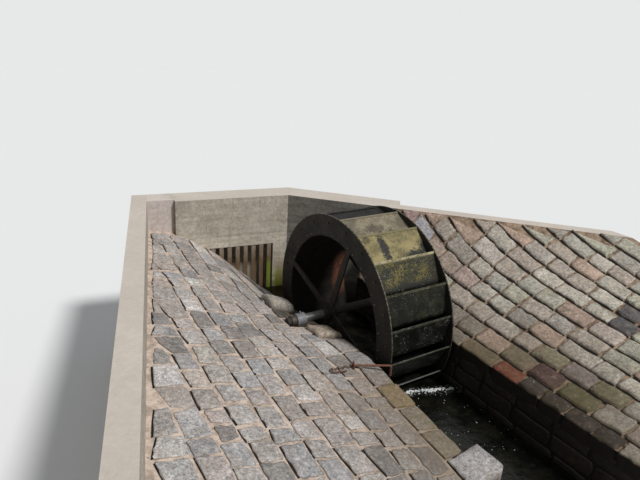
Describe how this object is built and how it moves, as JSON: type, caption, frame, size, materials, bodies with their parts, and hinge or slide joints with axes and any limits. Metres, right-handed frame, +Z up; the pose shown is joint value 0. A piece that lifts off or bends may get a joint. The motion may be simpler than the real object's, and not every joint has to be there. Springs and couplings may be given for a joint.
{
  "type": "water wheel in a masonry wheel pit",
  "caption": "Iron overshot water wheel with curved buckets between ring shrouds, turning on a plain shaft in a stone-lined pit with pitched banks, a concrete headwall and a sluice grate.",
  "frame": {"origin": "on the underside of the pit floor, straight below the middle of the shaft", "axes": "X along the shaft to the right, Y upstream to the headwall, Z up"},
  "size_m": [6.9667, 5.9608, 2.65],
  "materials": {
    "wheel_iron": "dark weathered iron, damp",
    "sole_iron": "rusty brown plate",
    "bucket_iron": "wet plate with lichen and slime",
    "shaft_steel": "worn bare steel, rusty at the ends",
    "bearing_paint": "grey paint, worn",
    "bed_iron": "dark iron",
    "grate_iron": "rusty flat bars",
    "rusty_iron": "red-brown rust",
    "pit_masonry": "squared stone, dark and wet below",
    "bank_stone": "grey and pink setts in pale mortar",
    "kerb_stone": "pale sandy concrete",
    "concrete": "board-marked concrete, stained",
    "pit_floor": "dark wet stone"
  },
  "bodies": {
    "wheel_pit": {"pit_floor": "pit_floor", "left_pit_wall": "pit_masonry", "right_pit_wall": "pit_masonry", "left_bank": "bank_stone", "right_bank": "bank_stone", "left_kerb": "kerb_stone", "right_kerb": "kerb_stone", "headwall": "concrete", "return_wall": "concrete", "sluice_grate": "grate_iron", "left_bearing": "bearing_paint", "right_bearing": "bearing_paint", "left_bearing_bed": "bed_iron", "right_bearing_bed": "bed_iron", "rod_plate": "rusty_iron", "retaining_rod": "rusty_iron"},
    "wheel": {"left_shroud": "wheel_iron", "right_shroud": "wheel_iron", "sole_plate": "sole_iron", "left_arms": "wheel_iron", "right_arms": "wheel_iron", "left_hub": "wheel_iron", "right_hub": "wheel_iron", "shaft": "shaft_steel", "left_collar": "shaft_steel", "right_collar": "shaft_steel", "bucket_01": "bucket_iron", "bucket_02": "bucket_iron", "bucket_03": "bucket_iron", "bucket_04": "bucket_iron", "bucket_05": "bucket_iron", "bucket_06": "bucket_iron", "bucket_07": "bucket_iron", "bucket_08": "bucket_iron", "bucket_09": "bucket_iron", "bucket_10": "bucket_iron", "bucket_11": "bucket_iron", "bucket_12": "bucket_iron", "bucket_13": "bucket_iron", "bucket_14": "bucket_iron", "bucket_15": "bucket_iron", "bucket_16": "bucket_iron", "bucket_17": "bucket_iron", "bucket_18": "bucket_iron", "bucket_19": "bucket_iron", "bucket_20": "bucket_iron"}
  },
  "joints": [
    {"name": "wheel_turn", "type": "hinge", "parent": "wheel_pit", "child": "wheel", "pos_m": [0, 0, 1.45], "axis": [1, 0, 0], "continuous": true}
  ]
}
